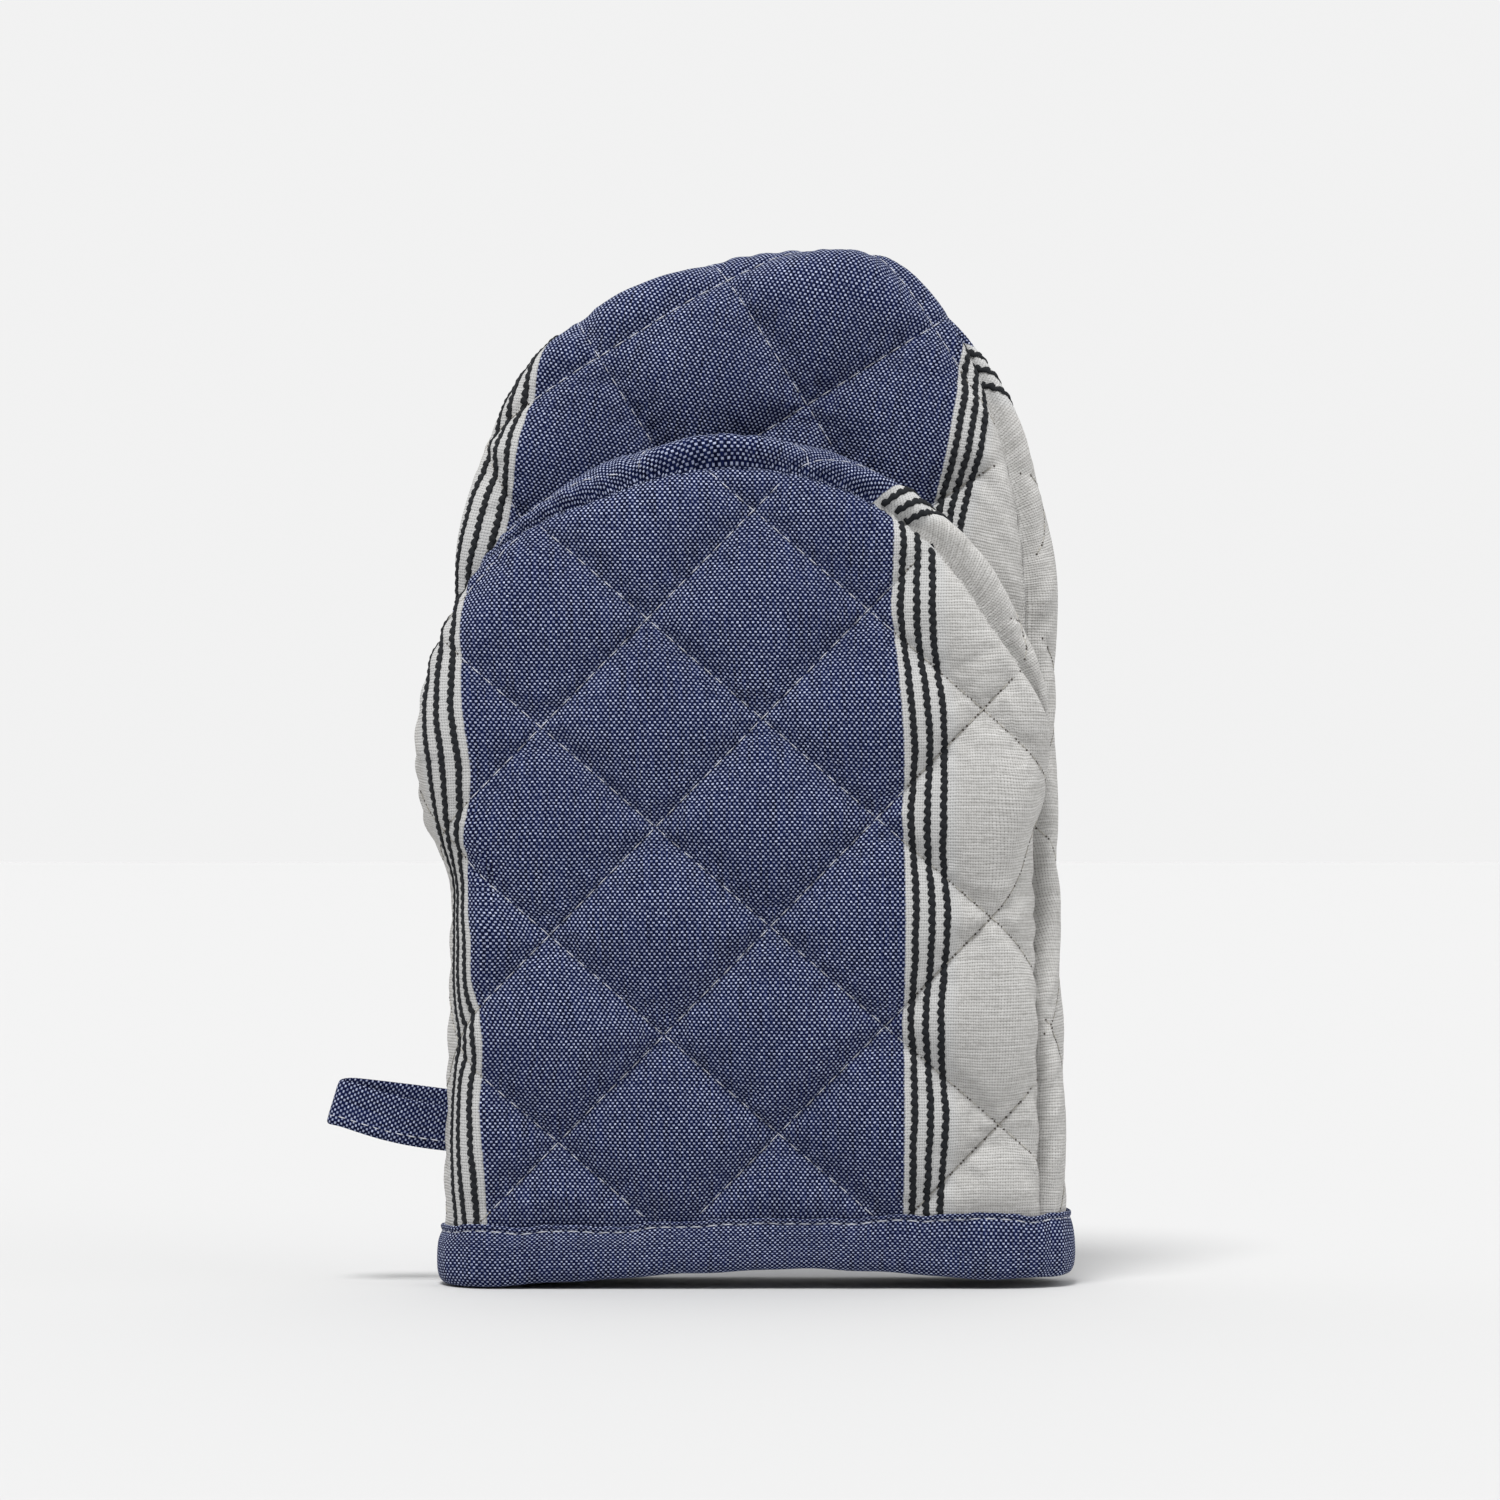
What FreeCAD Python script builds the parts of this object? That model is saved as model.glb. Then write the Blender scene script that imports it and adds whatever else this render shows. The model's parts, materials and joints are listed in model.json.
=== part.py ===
import FreeCAD, Part

import math
import os

# Quilted oven mitt, standing on its cuff. Millimetres.
# +X to the edge without the hanging loop, -Y to the thumb pocket's side, +Z to the fingertips.
# The origin is the centre of the cuff's lower edge.

# --- overall form -------------------------------------------------------------------------------
TOTAL_HEIGHT = 278.0
WEB_Z = 112.0                # height of the fold where thumb pocket and finger pocket part
CUFF_HALF_WIDTH = 84.0       # at the lower edge
CUFF_HALF_DEPTH = 20.0       # at the lower edge
CUFF_CORNER = 15.0

FINGER_HALF_WIDTH = 81.5
FINGER_SHOULDER_Z = 180.0    # where the straight sides start to round over
FINGER_SIDE_RADIUS = 122.0   # of the arcs above the shoulders
FINGER_FRONT_Y = 1.0
FINGER_BACK_Y = 30.0
FINGER_EDGE_RADIUS = 13.5

THUMB_RADIUS = 84.0
THUMB_CENTRE_X = -7.0
THUMB_CENTRE_Z = 141.5
THUMB_FRONT_Y = -28.0
THUMB_BACK_Y = -1.0
THUMB_EDGE_RADIUS = 12.5

# --- layers, from the outside in -----------------------------------------------------------------
COVER = 0.8
BATTING = 4.2
LINING = 0.6
COVER_IN = COVER
BATTING_IN = COVER + BATTING
LINING_IN = COVER + BATTING + LINING

# --- seams ----------------------------------------------------------------------------------------
MOUTH_CORNER_Z = 100.0       # where back, mouth and front panels meet at the sides
MOUTH_CORNER_RISE = 4.0      # height over which the two upper seams part from the corner
THUMB_SEAM_RISE = 22.0       # above the web, where the thumb pocket's seam reaches its own plane
WEB_HALF_DEPTH = 8.0         # the mouth panel's width across the fold
THUMB_SEAM_Y = -20.0         # front panel to mouth panel, round the thumb pocket
FINGER_SEAM_Y = 9.0          # mouth panel to back panel, round the finger pocket
BODY_GAP = 0.4               # between the thumb body and the rest

# --- cuff binding -----------------------------------------------------------------------------------
BINDING_HEIGHT = 18.0
BINDING_THICKNESS = 1.0
BINDING_FOOT = 1.2           # fabric folded under the cuff's raw edge

# --- hanging loop -----------------------------------------------------------------------------------
LOOP_Z = 44.5                # middle of the strap's width
LOOP_WIDTH = 11.0
LOOP_THICKNESS = 1.6
LOOP_TIP_X = -113.0
LOOP_TIP_RADIUS = 6.0        # outside of the folded end
LOOP_ROOT_X = -87.0          # where the strap leaves the seam
LOOP_ROOT_HALF = 2.0         # half the two strands' thickness at the seam
LOOP_ANCHOR_LENGTH = 4.0     # the caught ends, trimmed to the mitt's side

POCKET_ROOT = 2.0            # how far each pocket's pad reaches down into the cuff's solid
FLAT = 0.01                  # an edge thinner than this lies in one plane
FAR = 400.0                  # beyond the part on every side


def vec(x, y, z):
    return FreeCAD.Vector(x, y, z)


def rounded_rectangle(half_x, y_low, y_high, corner, z):
    """Wire of a rounded rectangle at height z."""
    x = half_x
    k = corner * (1 - math.sqrt(0.5))
    starts = [vec(x, y_low + corner, z), vec(x - corner, y_high, z),
              vec(-x, y_high - corner, z), vec(-x + corner, y_low, z)]
    ends = [vec(x, y_high - corner, z), vec(-x + corner, y_high, z),
            vec(-x, y_low + corner, z), vec(x - corner, y_low, z)]
    middles = [vec(x - k, y_high - k, z), vec(-x + k, y_high - k, z),
               vec(-x + k, y_low + k, z), vec(x - k, y_low + k, z)]
    edges = []
    for i in range(4):
        edges.append(Part.makeLine(starts[i], ends[i]))
        edges.append(Part.Arc(ends[i], middles[i], starts[(i + 1) % 4]).toShape())
    return Part.Wire(edges)


def cuff_solid(inset, z_low=0.0, z_high=None):
    """The cuff as a solid, its walls moved inwards by inset."""
    z_high = WEB_Z - inset if z_high is None else z_high
    wires = []
    for z in (z_low, z_high):
        f = z / WEB_Z
        half_x = CUFF_HALF_WIDTH + f * (FINGER_HALF_WIDTH - CUFF_HALF_WIDTH) - inset
        y_low = -CUFF_HALF_DEPTH + f * (THUMB_FRONT_Y + CUFF_HALF_DEPTH) + inset
        y_high = CUFF_HALF_DEPTH + f * (FINGER_BACK_Y - CUFF_HALF_DEPTH) - inset
        wires.append(rounded_rectangle(half_x, y_low, y_high, CUFF_CORNER - inset, z))
    return Part.makeLoft(wires, True, True)


def finger_outline(inset, y):
    """Closed outline of the finger pocket in the plane at y: straight sides, two side arcs, a top arc."""
    half = FINGER_HALF_WIDTH - inset
    side_x = FINGER_HALF_WIDTH - FINGER_SIDE_RADIUS
    rise = TOTAL_HEIGHT - FINGER_SHOULDER_Z
    top_radius = (FINGER_SIDE_RADIUS ** 2 - side_x ** 2 - rise ** 2) / (2 * (FINGER_SIDE_RADIUS - rise))
    top_z = TOTAL_HEIGHT - top_radius
    tilt = math.atan2(top_z - FINGER_SHOULDER_Z, -side_x)
    side_r = FINGER_SIDE_RADIUS - inset

    def on_side(angle, sign):
        x = side_x + side_r * math.cos(angle)
        return vec(sign * x, y, FINGER_SHOULDER_Z + side_r * math.sin(angle))

    low_z = WEB_Z - inset - POCKET_ROOT
    right_low = vec(half, y, low_z)
    left_low = vec(-half, y, low_z)
    top = vec(0, y, TOTAL_HEIGHT - inset)
    edges = [
        Part.makeLine(left_low, right_low),
        Part.makeLine(right_low, on_side(0, 1)),
        Part.Arc(on_side(0, 1), on_side(tilt / 2, 1), on_side(tilt, 1)).toShape(),
        Part.Arc(on_side(tilt, 1), top, on_side(tilt, -1)).toShape(),
        Part.Arc(on_side(tilt, -1), on_side(tilt / 2, -1), on_side(0, -1)).toShape(),
        Part.makeLine(on_side(0, -1), left_low),
    ]
    return Part.Wire(edges)


def finger_solid(inset):
    """The finger pocket as a solid pad with rounded edges, its surface moved inwards by inset."""
    y_low = FINGER_FRONT_Y + inset
    y_high = FINGER_BACK_Y - inset
    pad = Part.Face(finger_outline(inset, y_low)).extrude(vec(0, y_high - y_low, 0))
    radius = FINGER_EDGE_RADIUS - inset
    rims = [e for e in pad.Edges if is_rim(e)]
    return pad.makeFillet(radius, rims)


def is_rim(edge):
    """True for an edge that runs round the front or back of a pad, other than along its bottom."""
    box = edge.BoundBox
    return box.YLength < FLAT and box.ZLength > FLAT


def thumb_solid(inset):
    """The thumb pocket as a round pad with rounded edges, its surface moved inwards by inset."""
    y_low = THUMB_FRONT_Y + inset
    y_high = THUMB_BACK_Y - inset
    start = vec(THUMB_CENTRE_X, y_low, THUMB_CENTRE_Z)
    disc = Part.makeCylinder(THUMB_RADIUS - inset, y_high - y_low, start, vec(0, 1, 0))
    rims = [e for e in disc.Edges if e.BoundBox.YLength < FLAT]
    pad = disc.makeFillet(THUMB_EDGE_RADIUS - inset, rims)
    trim = Part.makeBox(FAR, FAR, FAR + WEB_Z - inset - POCKET_ROOT, vec(-FAR / 2, -FAR / 2, -FAR))
    return pad.cut(trim)


def mitt_solid(inset):
    """The whole mitt filled in: cuff, finger pocket and thumb pocket."""
    return cuff_solid(inset).fuse([finger_solid(inset), thumb_solid(inset)])


def yz_prism(points):
    """A prism across the whole part from a closed outline of (y, z) points."""
    corners = [vec(-FAR / 2, y, z) for y, z in points]
    return Part.Face(Part.makePolygon(corners + corners[:1])).extrude(vec(FAR, 0, 0))


def zones():
    """Where each panel lies: front, mouth and back, as prisms that share the seam planes."""
    part_z = MOUTH_CORNER_Z + MOUTH_CORNER_RISE
    front_seam = [(0, -FAR), (0, MOUTH_CORNER_Z), (-WEB_HALF_DEPTH, part_z),
                  (THUMB_SEAM_Y, WEB_Z + THUMB_SEAM_RISE), (THUMB_SEAM_Y, FAR)]
    back_seam = [(0, -FAR), (0, MOUTH_CORNER_Z), (FINGER_SEAM_Y, part_z), (FINGER_SEAM_Y, FAR)]
    front = yz_prism(front_seam + [(-FAR, FAR), (-FAR, -FAR)])
    back = yz_prism(back_seam + [(FAR, FAR), (FAR, -FAR)])
    mouth = yz_prism(front_seam[1:] + back_seam[:0:-1])
    return front, mouth, back


def thumb_space():
    """Everything that turns with the thumb pocket."""
    return Part.makeBox(FAR, FAR, FAR, vec(-FAR / 2, -FAR, WEB_Z + BODY_GAP))


def fixed_space():
    """Everything that stays with the cuff and the finger pocket."""
    low = Part.makeBox(FAR, 2 * FAR, FAR, vec(-FAR / 2, -FAR, WEB_Z - FAR))
    return low.fuse(Part.makeBox(FAR, FAR, FAR, vec(-FAR / 2, 0, WEB_Z)))


def panel_layers():
    """Every layer of every panel, by node name."""
    bodies = [mitt_solid(t) for t in (0.0, COVER_IN, BATTING_IN, LINING_IN)]
    above_binding = Part.makeBox(FAR, FAR, FAR, vec(-FAR / 2, -FAR / 2, BINDING_FOOT))
    front, mouth, back = zones()
    moving = thumb_space()
    fixed = fixed_space()
    nodes = {}
    for number, layer in enumerate(("cover", "batting", "lining")):
        shell = bodies[number].cut(bodies[number + 1]).common(above_binding)
        nodes["back_" + layer] = shell.common(back)
        palm = shell.common(mouth)
        nodes["finger_palm_" + layer] = palm.common(fixed)
        nodes["thumb_palm_" + layer] = palm.common(moving)
        face = shell.common(front)
        nodes["cuff_front_" + layer] = face.common(fixed)
        nodes["thumb_front_" + layer] = face.common(moving)
    return nodes


def cuff_binding():
    """A strip folded round the cuff's raw edge: an outer wall, an inner wall and the fold under them."""
    outer = cuff_solid(-BINDING_THICKNESS, 0.0, BINDING_HEIGHT)
    inner = cuff_solid(LINING_IN + BINDING_THICKNESS, 0.0, BINDING_HEIGHT)
    quilt = cuff_solid(0.0, BINDING_FOOT, BINDING_HEIGHT)
    hollow = cuff_solid(LINING_IN, BINDING_FOOT, BINDING_HEIGHT)
    return outer.cut(inner).cut(quilt.cut(hollow))


def loop_path():
    """Outline of the folded strap seen from above, with a round root that turns about the seam."""
    radius = LOOP_TIP_RADIUS
    centre_x = LOOP_TIP_X + LOOP_TIP_RADIUS
    dx = LOOP_ROOT_X - centre_x
    root_y = LOOP_ROOT_HALF
    reach = math.hypot(dx, root_y)
    lean = math.acos(radius / reach) + math.atan2(root_y, dx)
    touch = vec(centre_x + radius * math.cos(lean), radius * math.sin(lean), 0)
    mirrored = vec(touch.x, -touch.y, 0)
    root = vec(LOOP_ROOT_X, root_y, 0)
    root_low = vec(LOOP_ROOT_X, -root_y, 0)
    edges = [Part.makeLine(root, touch),
             Part.Arc(touch, vec(centre_x - radius, 0, 0), mirrored).toShape(),
             Part.makeLine(mirrored, root_low),
             Part.Arc(root_low, vec(LOOP_ROOT_X + root_y, 0, 0), root).toShape()]
    return Part.Wire(edges)


def eye_path():
    """The loop's open eye seen from above: a drop shape inside the strap."""
    radius = LOOP_TIP_RADIUS - LOOP_THICKNESS
    centre_x = LOOP_TIP_X + LOOP_TIP_RADIUS
    point_x = LOOP_ROOT_X - LOOP_THICKNESS
    lean = math.acos(radius / (point_x - centre_x))
    touch = vec(centre_x + radius * math.cos(lean), radius * math.sin(lean), 0)
    mirrored = vec(touch.x, -touch.y, 0)
    point = vec(point_x, 0, 0)
    edges = [Part.makeLine(point, touch),
             Part.Arc(touch, vec(centre_x - radius, 0, 0), mirrored).toShape(),
             Part.makeLine(mirrored, point)]
    return Part.Wire(edges)


def hanging_loop():
    """The folded strap standing on edge, with its eye."""
    band = Part.Face(loop_path()).cut(Part.Face(eye_path()))
    solid = band.extrude(vec(0, 0, LOOP_WIDTH))
    solid.translate(vec(0, 0, LOOP_Z - LOOP_WIDTH / 2))
    return solid


def loop_anchor():
    """The strap's two ends, caught in the side seam."""
    start_x = LOOP_ROOT_X + LOOP_ROOT_HALF + BODY_GAP
    corner = vec(start_x, -LOOP_ROOT_HALF, LOOP_Z - LOOP_WIDTH / 2)
    ends = Part.makeBox(LOOP_ANCHOR_LENGTH, 2 * LOOP_ROOT_HALF, LOOP_WIDTH, corner)
    return ends.cut(cuff_solid(0.0))


def main():
    os.makedirs("parts", exist_ok=True)
    nodes = panel_layers()
    nodes["cuff_binding"] = cuff_binding()
    nodes["hanging_loop"] = hanging_loop()
    nodes["loop_anchor"] = loop_anchor()
    for name, shape in nodes.items():
        solids = sorted(shape.Solids, key=lambda s: -s.Volume)
        print(name, "solids", len(solids), [round(s.Volume, 2) for s in solids], shape.isValid())
        shape = solids[0] if len(solids) == 1 else Part.makeCompound(solids)
        shape.exportStep("parts/" + name + ".step")


main()
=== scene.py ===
import json
import math

import bpy
import numpy as np
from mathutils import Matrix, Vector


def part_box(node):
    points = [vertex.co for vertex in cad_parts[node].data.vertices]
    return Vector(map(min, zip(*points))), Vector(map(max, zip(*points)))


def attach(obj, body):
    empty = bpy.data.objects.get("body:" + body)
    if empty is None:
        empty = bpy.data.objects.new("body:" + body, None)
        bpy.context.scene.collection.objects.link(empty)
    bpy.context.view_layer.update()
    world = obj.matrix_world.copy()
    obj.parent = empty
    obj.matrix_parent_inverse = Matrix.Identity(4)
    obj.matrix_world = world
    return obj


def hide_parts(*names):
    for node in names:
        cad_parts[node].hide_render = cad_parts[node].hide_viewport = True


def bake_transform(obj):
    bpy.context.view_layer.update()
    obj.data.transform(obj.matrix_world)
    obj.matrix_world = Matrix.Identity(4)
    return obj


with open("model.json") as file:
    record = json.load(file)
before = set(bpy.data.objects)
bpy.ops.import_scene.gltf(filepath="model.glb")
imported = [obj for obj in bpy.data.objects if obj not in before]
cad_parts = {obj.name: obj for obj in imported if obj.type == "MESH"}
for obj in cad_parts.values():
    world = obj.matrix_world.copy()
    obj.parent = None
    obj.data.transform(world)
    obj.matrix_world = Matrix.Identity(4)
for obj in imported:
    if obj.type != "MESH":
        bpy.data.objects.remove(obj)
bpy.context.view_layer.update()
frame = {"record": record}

rng = np.random.default_rng(7)

# ---- sizes, in millimetres, from the frame


def span(node):
    """Lowest and highest corner of a CAD node in millimetres."""
    low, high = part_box(node)
    return np.array(low) * 1000, np.array(high) * 1000


BACK_HIGH = span("back_cover")[1]
THUMB_LOW, THUMB_HIGH = span("thumb_palm_cover")
BIND_HIGH = span("cuff_binding")[1]
LOOP_LOW, LOOP_HIGH = span("hanging_loop")
JOINTS = {j["name"]: j for j in frame["record"]["behaviour"]["joints"]}
WEB_Z = JOINTS["thumb_open"]["pos_m"][2] * 1000
TOP_Z = BACK_HIGH[2]
FINGER_HALF = BACK_HIGH[0] - 3.8
CUFF_HALF = BIND_HIGH[0] - 2.0
BIND_TOP = BIND_HIGH[2]
SHOULDER_Z = TOP_Z - 98.0
THUMB_R = (THUMB_HIGH[0] - THUMB_LOW[0]) / 2 - 0.6
THUMB_X = (THUMB_LOW[0] + THUMB_HIGH[0]) / 2 + 1.0
THUMB_Z = THUMB_HIGH[2] - THUMB_R - 1.0
PUFF = 4.0                   # height of the quilted pillows over their stitched lines
FRONT_CUFF, FRONT_LOBE = 17.0, 24.6
BACK_CUFF, BACK_LOBE = 17.0, 26.4
PALM_GAP = 4.4               # each palm's stitched lines from the mouth's middle
SIDE_T, SIDE_F = -14.0, 15.5     # y of the thumb and finger pockets' edges
QUILT = 40.4                 # distance between quilting lines
STEP = 1.0


def smooth(x, a, b):
    t = np.clip((np.asarray(x, float) - a) / (b - a), 0, 1)
    return t * t * (3 - 2 * t)


def mix(a, b, t):
    return a + (b - a) * t


def noise1(x, seed=0.0):
    """Smooth, repeatable wobble of a number, within about -1 to 1."""
    a, b, c = np.sin(x + seed * 1.7), np.sin(x * 2.3 + seed * 3.1), np.sin(x * 4.1 + seed * 5.3)
    return (a + 0.6 * b + 0.4 * c) / 2


def noise2(u, v, seed=0.0):
    """Smooth, repeatable wobble over a surface, within about -1 to 1."""
    a = np.sin(u * 0.9 + 1.3 * np.sin(v * 0.7 + seed) + seed)
    b = np.sin(v * 1.1 + 1.1 * np.sin(u * 0.8 + 2 * seed) + 1.9 * seed)
    c = np.sin((u + v) * 1.7 + 3.7 * seed)
    return (a + b + 0.6 * c) / 2.6


def unit(v):
    """Vectors, in the last axis, brought to length one."""
    return v / (np.linalg.norm(v, axis=-1, keepdims=True) + 1e-9)


def run_length(points):
    """Length of the way from the first point to each point."""
    return np.concatenate([[0], np.cumsum(np.linalg.norm(np.diff(points, axis=0), axis=1))])


def bilinear(table, i, j):
    """Values of a table between its rows and columns. i and j stay below the last row and column."""
    a, b = i.astype(int), j.astype(int)
    s, t = i - a, j - b
    if table.ndim == 3:
        s, t = s[..., None], t[..., None]
    return ((1 - s) * (1 - t) * table[a, b] + s * (1 - t) * table[a + 1, b]
            + (1 - s) * t * table[a, b + 1] + s * t * table[a + 1, b + 1])


# ---- meshes


def grid(u0, u1, v0, v1, step):
    return np.meshgrid(np.arange(u0, u1 + step, step), np.arange(v0, v1 + step, step))


def grid_faces(mask, flip):
    """Quads of a grid whose corners are all in the mask, and the new number of each kept point."""
    ok = mask[:-1, :-1] & mask[1:, :-1] & mask[1:, 1:] & mask[:-1, 1:]
    i, j = np.nonzero(ok)
    w = mask.shape[1]
    a, b, c, d = i * w + j, i * w + j + 1, (i + 1) * w + j + 1, (i + 1) * w + j
    f = np.stack([a, d, c, b] if flip else [a, b, c, d], 1)
    used = np.unique(f)
    number = np.full(mask.size, -1)
    number[used] = np.arange(len(used))
    return number[f], used


def mesh_object(name, verts, faces, uv=None, material=None, smooth_shade=True):
    """A mesh piece from millimetres. uv holds one pair for each vertex, in millimetres of fabric."""
    me = bpy.data.meshes.new(name)
    me.from_pydata((np.asarray(verts) * 0.001).tolist(), [], [tuple(int(i) for i in f) for f in faces])
    if uv is not None:
        layer = me.uv_layers.new(name="fabric")
        loops = np.zeros(len(me.loops), np.int32)
        me.loops.foreach_get("vertex_index", loops)
        layer.data.foreach_set("uv", np.asarray(uv, np.float32)[loops].ravel())
    me.validate()
    me.update()
    if smooth_shade:
        me.polygons.foreach_set("use_smooth", [True] * len(me.polygons))
    ob = bpy.data.objects.new(name, me)
    bpy.context.scene.collection.objects.link(ob)
    if material is not None:
        me.materials.append(material)
    return ob


# ---- outlines of the pockets


def cuff_half(z):
    return CUFF_HALF - (CUFF_HALF - FINGER_HALF) * np.clip(z / WEB_Z, 0, 1)


class Contour:
    """An open outline up the left side, over the top and down the right. where is -1, 0 and 1 on them."""

    def __init__(self, x, z, where, angle):
        self.x, self.z, self.where, self.angle = x, z, where, angle

    def normals(self):
        dx, dz = np.gradient(self.x), np.gradient(self.z)
        n = np.hypot(dx, dz)
        return -dz / n, dx / n           # outwards: left of the way round is outside

    def inset(self, e):
        nx, nz = self.normals()
        return Contour(self.x - nx * e, self.z - nz * e, self.where, self.angle)


def contour(shoulder, sides, top):
    """sides(z) gives the left and the right x below the shoulder, and top(turn) gives x and z over it."""
    z = np.arange(-16.0, shoulder, 1.5)
    turn = np.linspace(math.pi, 0, 180)
    left, right = sides(z)
    top_x, top_z = top(turn)
    where = np.concatenate([-np.ones(len(z)), np.zeros(len(turn)), np.ones(len(z))])
    angle = np.concatenate([np.full(len(z), math.pi), turn, np.zeros(len(z))])
    return Contour(np.concatenate([left, top_x, right[::-1]]), np.concatenate([z, top_z, z[::-1]]),
                   where, np.degrees(angle))


def rim_cuff(z):
    """How far inside the cuff's right edge its seam shows."""
    return mix(7.0, 7.5, smooth(z, 0, WEB_Z))


def finger_sides(z):
    return -cuff_half(z), cuff_half(z)


def finger_top(turn):
    """Nearly an ellipse, with its top moved to the right."""
    c = np.cos(turn)
    x = FINGER_HALF * np.sign(c) * np.abs(c) ** 0.93 + 18.0 * np.sin(turn) ** 8
    return x, SHOULDER_Z + (TOP_Z - SHOULDER_Z - PUFF * 0.4) * np.sin(turn) ** 0.97


def thumb_sides(z):
    drop = np.sqrt(np.clip(THUMB_R ** 2 - (THUMB_Z - z) ** 2, 1, None))
    left = mix(-cuff_half(z), THUMB_X - drop, smooth(z, WEB_Z - 14, WEB_Z + 12))
    seam = cuff_half(z) - rim_cuff(z)
    return left, mix(seam, THUMB_X + THUMB_R, smooth(z, WEB_Z, THUMB_Z))


def thumb_top(turn):
    return THUMB_X + THUMB_R * np.cos(turn), THUMB_Z + THUMB_R * np.sin(turn)


FINGER = contour(SHOULDER_Z, finger_sides, finger_top)
THUMB = contour(THUMB_Z, thumb_sides, thumb_top)

RIM, RIM_DEEP = 7.6, 8.0     # width and depth of the mouth panel's rim


def rim_share(c):
    """How much of the rim rolls over the thumb pocket's edge, from 0 to 1."""
    return np.where(c.where == 0, smooth(c.angle, 3, 30) * smooth(146 - c.angle, 0, 34), 0)


def behind(c):
    """How far the left seams lie behind the edge."""
    return np.where(c.where < 0, 3.0, np.where(c.where == 0, 3.0 * smooth(c.angle, 156, 180), 0))


def edge_thumb(c):
    """y of the thumb pocket's edge, and of the front panel's seam below it."""
    left = SIDE_T * smooth(c.z, WEB_Z - 2, WEB_Z + 38)
    right = np.where(c.z < WEB_Z, -13.0 + 11.0 * smooth(c.z, WEB_Z - 42, WEB_Z),
                     -2.0 + (SIDE_T + 2.0) * smooth(c.z, WEB_Z, WEB_Z + 38))
    return np.where(c.where < 0, left, np.where(c.where > 0, right, SIDE_T))


def edge_finger(c):
    """y of the finger pocket's edge."""
    left = SIDE_F * smooth(c.z, WEB_Z - 2, WEB_Z + 38)
    right = 4.0 + (SIDE_F - 4.0) * smooth(c.z, WEB_Z - 12, WEB_Z + 38)
    return np.where(c.where < 0, left, np.where(c.where > 0, right, SIDE_F))


def seam_place(c):
    """Where the finger pocket's seam lies: 1 on the palm side, 0 on the edge, -1 behind it."""
    top = mix(1.0, -1.0, smooth(c.angle, 5, 105))
    left = mix(-0.5, -1.0, smooth(c.z, WEB_Z, WEB_Z + 40))
    return np.where(c.where > 0, 1.0, np.where(c.where < 0, left, top))


def seam_right(c):
    """Inset and y of the right seam of the finger pocket and the cuff."""
    inset = mix(rim_cuff(c.z), RIM, smooth(c.z, WEB_Z, WEB_Z + 70))
    y = np.where(c.z < WEB_Z, -13.0 + 11.0 * smooth(c.z, WEB_Z - 42, WEB_Z),
                 mix(-2.0, PALM_GAP + 1.0, smooth(c.z, WEB_Z, WEB_Z + 30)))
    return inset, y


class Edge:
    """A panel's outline and its turn: y0, the inner turn's width, the outer turn's width and depth."""

    def __init__(self, c, y0, r_in, r_out, d_out):
        self.x, self.z = c.x, c.z
        self.nx, self.nz = c.normals()
        self.y0, self.r_in, self.r_out, self.d_out = (a + 0 * c.x for a in (y0, r_in, r_out, d_out))


def front_edge():
    c, rim, b = THUMB, rim_share(THUMB), behind(THUMB)
    y0 = edge_thumb(c) - RIM_DEEP * np.sqrt(rim)
    left = mix(11.5, 15.0, smooth(c.z, WEB_Z - 20, WEB_Z + 20))
    r_in = np.where(c.where > 0, mix(12.0, 14.0, smooth(c.z, WEB_Z, WEB_Z + 30)), left) - 5.0 * rim
    return Edge(c.inset(RIM * rim), y0, r_in, 0.5 * b, b)


def thumb_palm_edge():
    c, rim, b = THUMB, rim_share(THUMB), behind(THUMB)
    return Edge(c.inset(0.5 * b), edge_thumb(c) + b, 13.0, RIM * rim, -RIM_DEEP * np.sqrt(rim))


def finger_edges():
    """The edges of the finger pocket's palm and of the back panel, which meet in one seam."""
    c, p = FINGER, seam_place(FINGER)
    ys, (e, y) = edge_finger(c), seam_right(c)
    front, back = np.clip(p, 0, 1), np.clip(-p, 0, 1)
    palm = Edge(c.inset(e * front), mix(ys, y, front), 14.0 - 7.0 * front, 3.0 * back, 6.0 * back)
    rear = Edge(c.inset(3.0 * back), ys + 6.0 * back, 16.0, e * front, (y - ys) * front)
    return palm, rear


FINGER_PALM_EDGE, BACK_EDGE = finger_edges()


# ---- the faces between the edges


def face_front(x, z):
    d = mix(FRONT_CUFF, FRONT_LOBE, smooth(z, 0, WEB_Z)) - 2.2 * smooth(z, WEB_Z + 30, WEB_Z + 115)
    return -d - 1.2 * (1 - np.clip(x / 80, -1, 1) ** 2)


def face_back(x, z):
    d = mix(BACK_CUFF, BACK_LOBE, smooth(z, 0, WEB_Z)) - 2.6 * smooth(z, WEB_Z + 70, TOP_Z)
    return d + 1.0 * (1 - np.clip(x / 80, -1, 1) ** 2)


def face_palm(sign):
    def face(x, z):
        return sign * mix(0.9, PALM_GAP, smooth(z, WEB_Z, WEB_Z + 22))
    return face


CHUNK = 4000                 # points mapped at once
CROSSING = 0.3               # how steeply the two allowances of a seam cross inside
BLUNT = 0.75                 # makes the outer turn fuller than an ellipse


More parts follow.
